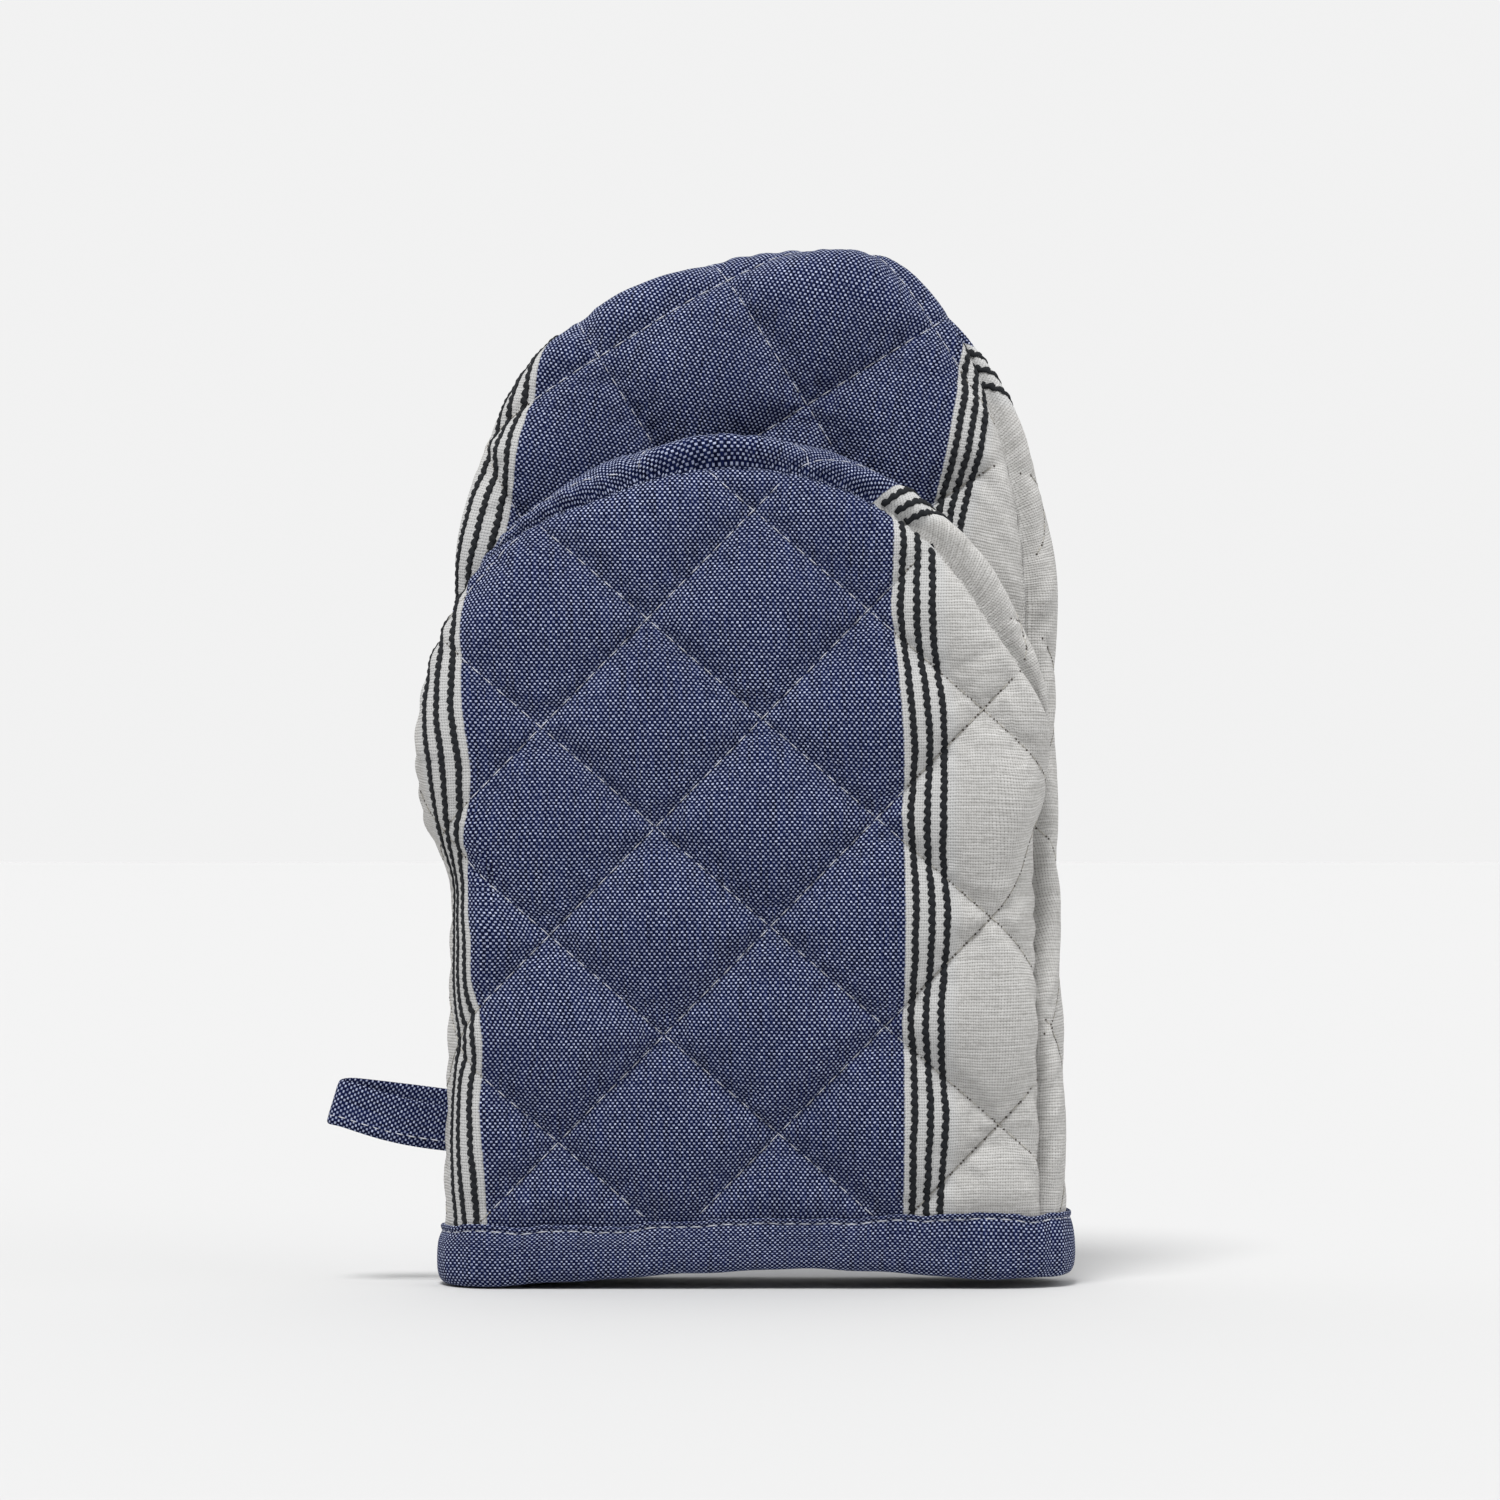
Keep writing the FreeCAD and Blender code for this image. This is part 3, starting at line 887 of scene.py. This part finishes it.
def quilt_stitches(panel, pitch=4.4, stitch=3.3):
    """The quilting's stitches: start and end points, normals, and how far across and along the stripes."""
    us, vs, ue, ve = [], [], [], []
    for family in (0, 1):
        for k in range(-12, 13):
            t = np.arange(-330, 330, pitch) + 0.6 * noise1(k * 3.0, family)
            t = t + rng.uniform(-0.35, 0.35, len(t))
            a = k * QUILT + 0 * t
            for shift, along_u, along_v in ((0, us, vs), (stitch, ue, ve)):
                p, q = (a, t + shift) if family == 0 else (t + shift, a)
                along_u.append((p - q) / math.sqrt(2))
                along_v.append((p + q) / math.sqrt(2))
    us, vs, ue, ve = (np.concatenate(x) for x in (us, vs, ue, ve))
    us, vs = panel.lattice.back(us, vs)
    ue, ve = panel.lattice.back(ue, ve)

    def inside(u, v):
        return ((u > panel.u.min() + 2) & (u < panel.u.max() - 2)
                & (v > panel.v.min() + 0.5) & (v < panel.v.max() - 2))

    ok = inside(us, vs) & inside(ue, ve)
    us, vs, ue, ve = us[ok], vs[ok], ue[ok], ve[ok]
    ps, ns, ds = panel.sample(us, vs)
    pe, ne, de = panel.sample(ue, ve)
    keep = (ds > 1.2) & (de > 1.2)
    x = panel.pattern((us + ue) / 2, (vs + ve) / 2)[0]
    return ps[keep], pe[keep], (ns + ne)[keep] / 2, np.abs(x[keep]), (vs + ve)[keep] / 2


CORDS = (2.6, 6.7, 10.7)     # distance of each black cord from the blue


def tube(path, normals, widths, heights, sides=8):
    """A flat-bottomed cord along a path on a surface. Returns vertices and faces."""
    axis = unit(np.gradient(path, axis=0))
    side = unit(np.cross(axis, normals))
    up = np.cross(side, axis)
    ang = np.arange(sides) * 2 * math.pi / sides
    v = (path[:, None] + side[:, None] * (np.cos(ang)[None, :] * widths[:, None] / 2)[..., None]
         + up[:, None] * (np.sin(ang)[None, :] * heights[:, None] / 2 + 0.16 * heights[:, None])[..., None])
    n = len(path)
    i, j = np.meshgrid(np.arange(n - 1), np.arange(sides), indexing="ij")
    a, b = (i * sides + j).ravel(), (i * sides + (j + 1) % sides).ravel()
    f = np.stack([a, a + sides, b + sides, b], 1).tolist()
    f += [list(range(sides)), list(range(n * sides - 1, (n - 1) * sides - 1, -1))]
    return v.reshape(-1, 3), f


TWIST = 2.15                 # length of one turn of a stripe's cord


def stripe_cords(panel, name):
    """The raised black cords woven along the edge of the blue."""
    verts, faces, count = [], [], 0
    u_line = np.linspace(panel.u.min(), panel.u.max(), 400)
    v = np.arange(panel.v.min() + 0.3, panel.v.max() - 3, TWIST / 5)
    grid_u, grid_v = np.meshgrid(u_line, v)
    across = panel.pattern(grid_u, grid_v)[0]
    for side in (-1, 1):
        for off in CORDS:
            target = side * (BLUE_HALF + off)
            u = np.array([np.interp(target, row, u_line) for row in across])
            good = (across[:, 0] < target) & (target < across[:, -1])
            turn = v / TWIST + 0.35 * noise1(v / 11.0, off) + 0.37 * off
            saw = turn - np.floor(turn)
            saw = np.where(saw < 0.7, saw / 0.7, (1 - saw) / 0.3) - 0.5
            u = u + 0.58 * saw + 0.28 * noise1(v / 7.0, off + side)
            p, n, d = panel.sample(u, v)
            width = 1.64 + 0.34 * np.cos(2 * math.pi * turn) + 0.1 * noise1(v / 3.0, off)
            height = 0.70 + 0.16 * np.cos(2 * math.pi * turn + 0.6)
            ok = good & (d > 0.1)
            edges = np.flatnonzero(np.diff(np.concatenate([[0], ok.astype(int), [0]])))
            for a, b in zip(edges[::2], edges[1::2]):
                if b - a > 4:
                    tv, tf = tube(p[a:b], n[a:b], width[a:b], height[a:b])
                    verts.append(tv)
                    faces += [[k + count for k in face] for face in tf]
                    count += len(tv)
    return mesh_object(name, np.concatenate(verts), faces, material=BLACK)


def quilt_threads(panel, name):
    s, e, n, across, along = quilt_stitches(panel)
    above = along > BIND_TOP + 0.5
    blue = across < BLUE_HALF
    made = []
    for pick, mat, tag in ((blue & above, WHITE, "white"), (~blue & above, CREAM, "cream")):
        if pick.sum() == 0:
            continue
        v, f = bead_chain(s[pick], e[pick], n[pick], 0.31, 0.28, 0.10)
        made.append(mesh_object(f"{name}_{tag}", v, f, material=mat))
        if tag == "cream":
            ends = np.concatenate([s[pick], e[pick]])
            outward = np.concatenate([n[pick], n[pick]])
            way = unit(np.cross(outward, (0.0, 0.7, 0.7)))
            # painted shade: small dark dots at each cream stitch's ends, where the needle hole lies in shade
            v, f = bead_chain(ends - way * 0.34, ends + way * 0.34, outward, 0.62, 0.2, 0.05)
            made.append(mesh_object(f"{name}_hole_shade", v, f, material=HOLE_SHADE))
    return made


front_cords = stripe_cords(FRONT, "front_stripe_cords")
back_cords = stripe_cords(BACK, "back_stripe_cords")
finger_cords = stripe_cords(MOUTH_F, "finger_palm_stripe_cords")
thumb_cords = stripe_cords(MOUTH_T, "thumb_palm_stripe_cords")
front_threads = quilt_threads(FRONT, "front_quilting")
back_threads = quilt_threads(BACK, "back_quilting")
finger_threads = quilt_threads(MOUTH_F, "finger_palm_quilting")
thumb_threads = quilt_threads(MOUTH_T, "thumb_palm_quilting")

# ---- cuff binding


def cuff_ring(z):
    """Closed loop round the cuff at height z, on the panels: points, outward normals and lengths."""
    parts = []
    for panel, way in ((FRONT, 1), (BACK, -1)):
        u = np.arange(panel.u.min() + 1, panel.u.max() - 1, 0.5)[::way]
        p, n, d = panel.sample(u, np.full(len(u), z))
        parts.append(p[d > 0.0])
    ring = np.concatenate(parts)[:, :2]
    close = np.concatenate([ring, ring[:1]])
    at = run_length(close)
    s = np.arange(360) * at[-1] / 360
    xy = np.stack([np.interp(s, at, close[:, k]) for k in (0, 1)], 1)
    for _ in range(6):
        xy = (np.roll(xy, 1, 0) + 2 * xy + np.roll(xy, -1, 0)) / 4
    tangent = np.roll(xy, -1, 0) - np.roll(xy, 1, 0)
    return xy, unit(np.stack([tangent[:, 1], -tangent[:, 0]], 1)), s


# offset from the quilt's face and height, from the inside, under the edge and up the outside
PROFILE = ((-6.2, 17.2), (-6.9, 15.0), (-7.2, 10.0), (-7.0, 4.0), (-6.2, 1.2), (-4.8, 0.15), (-2.5, 0.0),
           (-0.2, 0.05), (1.0, 0.5), (1.9, 1.8), (2.3, 4.0), (2.4, 7.0), (2.3, 10.0), (2.1, 12.5),
           (1.7, 14.6), (1.25, 15.8), (1.0, 16.4), (1.15, 16.9), (1.5, 17.4), (1.45, 17.9),
           (1.1, 18.25), (0.6, 18.2), (0.1, 17.8), (-0.5, 17.0))
STITCHED = PROFILE.index((1.0, 16.4))                     # the groove that holds the stitches


def binding_object():
    """The folded strip round the cuff. Also returns the line of its stitches and their normals."""
    ring, normal, s = cuff_ring(BIND_TOP / 2)
    rise = cuff_ring(BIND_TOP)[0] - ring
    length = s[-1] + s[1]
    turn = s / length * 2 * math.pi
    x, front = ring[:, 0], smooth(-ring[:, 1], -8, 8)
    hem = mix(0.8, 1.0, front) * (4.6 * smooth(x, -74, 4) - 2.4 * smooth(x, 12, 66))
    hem = hem + 0.4 + 0.5 * noise1(turn * 5, 6.0)
    wave = 0.6 * noise1(turn * 9, 1.0) + 0.35 * noise1(turn * 23, 2.0)
    lift = 0.7 * noise1(turn * 6, 3.0) + 0.4 * noise1(turn * 17, 4.0) + mix(-2.0, 1.5, smooth(x, -90, 60))
    verts, uv = [], []
    for (off, z), run in zip(PROFILE, run_length(np.array(PROFILE))):
        f = z / BIND_TOP
        out = off + (wave * math.sin(min(f, 1) * math.pi) if off > 0.5 else 0 * wave)
        xy = ring + rise * max(f - 0.5, 0) * 2 + normal * out[:, None]
        height = z + lift * smooth(z, 9, 17) + hem * (1 - min(f, 1))
        verts.append(np.concatenate([xy, height[:, None]], 1))
        uv.append(np.stack([s, 0 * s + run], 1))
    ob = strip_object("cuff_binding_strip", verts, uv, length, False)
    return ob, verts[STITCHED], np.concatenate([normal, 0 * normal[:, :1]], 1)


def strip_object(name, rows, uv, length, flip):
    """A smooth strip from closed rows of points. length is a row's, in uv."""
    rows, uv = np.stack(rows), np.stack(uv)
    rows = np.concatenate([rows, rows[:, :1]], 1)
    uv = np.concatenate([uv, uv[:, :1] + np.array([length, 0])], 1)
    faces = grid_faces(np.ones(rows.shape[:2], bool), flip)[0]
    ob = mesh_object(name, rows.reshape(-1, 3), faces, uv.reshape(-1, 2), PLAIN)
    sub = ob.modifiers.new("sub", "SUBSURF")
    sub.levels = sub.render_levels = 1
    me = bpy.data.meshes.new_from_object(ob.evaluated_get(bpy.context.evaluated_depsgraph_get()))
    ob.modifiers.clear()
    ob.data = me
    return ob


binding, stitch_line, stitch_normals = binding_object()


def line_stitches(points, normals, name, pitch, stitch):
    """White stitches along a line of points."""
    at = run_length(points)
    starts = np.arange(0.5, at[-1] - pitch, pitch)

    def on(s, a):
        return np.stack([np.interp(s, at, a[:, k]) for k in range(3)], 1)

    s, e, n = on(starts, points), on(starts + stitch, points), on(starts + stitch / 2, normals)
    v, f = bead_chain(s, e, n, 0.30, 0.28, 0.10, rings=5, sides=6)
    return mesh_object(name, v, f, material=WHITE)


stitch_line, stitch_normals = (np.append(a, a[:1], 0) for a in (stitch_line, stitch_normals))
binding_stitches = line_stitches(stitch_line, stitch_normals, "binding_stitching", 4.1, 3.3)

# ---- hanging loop


STRAP_SLOPE = 0.27           # radians that the strap's section leans
ROW = 2.6                    # the stitches' distance from the strap's edge


def strap_path():
    """Out from the seam to the tip, round it and back: points of the strap's middle line."""
    tip = LOOP_LOW[0] + 0.6
    root = -cuff_half(LOOP_LOW[2]) + 2.0
    z = (LOOP_LOW[2] + LOOP_HIGH[2]) / 2
    r, seam = 2.7, 0.9                                    # half the gap at the tip and at the seam
    t = np.linspace(0, 1, 26)
    bow = np.sin(t * math.pi)
    x = mix(root, tip + r, t)
    y = mix(seam, r, t) + 1.6 * bow
    front = np.stack([x, -y, z - 3.5 + 7.0 * t - bow], 1)
    a = np.linspace(-math.pi / 2, math.pi / 2, 13)[1:-1]
    end = np.stack([tip + r - r * np.cos(a), r * np.sin(a), z + 3.5 + 0.25 * (a + math.pi / 2)], 1)
    rear = np.stack([x, y, z + 0.8 + 3.5 * t], 1)[::-1]
    path = np.concatenate([front, end, rear])
    for _ in range(4):
        path[1:-1] = (path[:-2] + 2 * path[1:-1] + path[2:]) / 4
    return path


def strap_section(half_w, half_t):
    """Closed section of the folded strap, with a stitched groove and a crease, as (width, thickness) rows."""
    section = []
    for b in np.arange(28) * 2 * math.pi / 28:
        w = math.copysign(abs(math.cos(b)) ** 0.42, math.cos(b)) * half_w
        d = math.copysign(abs(math.sin(b)) ** 0.7, math.sin(b)) * half_t
        groove = 0.28 * math.exp(-((w + half_w - ROW) / 0.7) ** 2) + 0.45 * math.exp(-((w - 1.3) / 0.8) ** 2)
        edge = 0.3 * math.exp(-((w + half_w - 1.2) / 1.0) ** 2)
        section.append((w, d + (math.copysign(edge - groove, d) if abs(d) > 0.1 else 0)))
    return np.array(section)


def strap_object():
    """The hanging loop. Also returns the line of its stitches and their normals."""
    path = strap_path()
    tangent = unit(np.gradient(path, axis=0))
    outward = unit(np.stack([-tangent[:, 1], tangent[:, 0], 0 * tangent[:, 0]], 1))
    across = np.array([math.sin(STRAP_SLOPE), 0.0, math.cos(STRAP_SLOPE)])
    half_w, half_t = (LOOP_HIGH[2] - LOOP_LOW[2]) / 2 + 0.6, 0.75
    section = strap_section(half_w, half_t)
    round_it = run_length(section) * 0.9
    rows, uv = [], []
    for point, out, at in zip(path, outward, run_length(path)):
        rows.append(point + across * section[:, :1] + out * (section[:, 1:] + 0.18 * noise1(at / 5.0, 2.0)))
        uv.append(np.stack([round_it, at + 0 * round_it], 1))
    ob = strip_object("hanging_strap", rows, uv, round_it[-1], True)
    return ob, path + across * (ROW - half_w) + outward * (half_t + 0.05), outward


strap, strap_row, strap_out = strap_object()
strap_stitches = line_stitches(strap_row, strap_out, "strap_stitching", 3.2, 2.3)

# ---- linings


LINING_DEPTH = 5.2           # of the lining under the quilt's stitched lines
PLAIN_CLOTH = 200.0          # shifts the lining's pattern to the cream beyond the stripes


def lining_object(panel, name, flip):
    every_third = (slice(None, None, 3), slice(None, None, 3))
    faces, used = grid_faces((panel.dist > 5.5)[every_third], flip)
    depth = 0.4 * noise2(panel.u / 9, panel.v / 9, 8.0) - LINING_DEPTH
    place = panel.base + panel.base_n * depth[..., None]
    uv = np.stack([panel.u + PLAIN_CLOTH, panel.v], 2)[every_third].reshape(-1, 2)[used]
    return mesh_object(name, place[every_third].reshape(-1, 3)[used], faces, uv, FABRIC)


front_lining = lining_object(FRONT, "front_lining_cloth", True)
back_lining = lining_object(BACK, "back_lining_cloth", False)
finger_lining = lining_object(MOUTH_F, "finger_palm_lining_cloth", True)
thumb_lining = lining_object(MOUTH_T, "thumb_palm_lining_cloth", False)

# ---- bodies


def bend(ob):
    """Bakes the piece's placement into its mesh and reads its points, which nothing then uses."""
    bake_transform(ob)
    co = np.zeros(len(ob.data.vertices) * 3, np.float32)
    ob.data.vertices.foreach_get("co", co)


bend(mouth_panel)
for ob in [front_panel, front_cords, thumb_cords, front_lining, thumb_lining, *front_threads, *thumb_threads]:
    bend(ob)
for ob in [back_panel, back_cords, finger_cords, back_lining, finger_lining, binding, binding_stitches,
           *back_threads, *finger_threads]:
    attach(ob, "mitt")
for ob in [strap, strap_stitches]:
    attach(ob, "loop")

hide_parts("cuff_front_cover", "thumb_front_cover", "cuff_front_batting", "thumb_front_batting")
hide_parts("back_cover", "back_batting")
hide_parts("finger_palm_cover", "thumb_palm_cover", "finger_palm_batting", "thumb_palm_batting")
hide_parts("cuff_front_lining", "thumb_front_lining")
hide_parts("back_lining")
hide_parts("finger_palm_lining")
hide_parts("thumb_palm_lining")
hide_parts("cuff_binding")
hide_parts("hanging_loop", "loop_anchor")

# ---- stage, light and camera


def floor():
    m, _, bsdf = nodes_of("floor")
    bsdf.inputs["Base Color"].default_value = (0.578, 0.578, 0.578, 1)
    bsdf.inputs["Roughness"].default_value = 0.9
    size = 6000.0
    v = [(-size, -size, 0), (size, -size, 0), (size, size, 0), (-size, size, 0)]
    ob = mesh_object("studio_floor", v, [(0, 1, 2, 3)], material=m, smooth_shade=False)


def sky():
    """Soft daylight: paler behind the mitt than in front of it."""
    world = bpy.data.worlds.new("studio")
    bpy.context.scene.world = world
    world.use_nodes = True
    net = Net(world.node_tree)
    behind_it = net.split(net.node("TexCoord").outputs["Generated"])[1]
    background = world.node_tree.nodes["Background"]
    net.put(background.inputs["Strength"], net.range(behind_it, -0.6, 0.15, 0.12, 0.885))
    net.put(background.inputs["Color"], (1.0, 1.0, 1.0, 1))


def sun(name, azimuth, height, strength, softness):
    data = bpy.data.lights.new(name, "SUN")
    data.energy = strength
    data.angle = math.radians(softness)
    ob = bpy.data.objects.new(name, data)
    bpy.context.scene.collection.objects.link(ob)
    ob.rotation_euler = (math.radians(90 - height), 0, math.radians(azimuth))


floor()
sky()
sun("key", -20, 64, 2.94, 20)
sun("fill", 66, 24, 0.72, 60)
bpy.context.scene.view_settings.view_transform = "Standard"

VIEW_WIDTH = 0.4                 # metres across the picture at the mitt
DISTANCE = 1.6
AIM_X, AIM_Z = -0.0016, 0.1421   # the point in the picture's middle
camera = bpy.data.cameras.new("camera")
camera.sensor_width = 36
camera.lens = DISTANCE * camera.sensor_width / VIEW_WIDTH
view = bpy.data.objects.new("camera", camera)
bpy.context.scene.collection.objects.link(view)
view.location = (AIM_X, -DISTANCE, AIM_Z)
view.rotation_euler = (math.pi / 2, 0, 0)
bpy.context.scene.camera = view
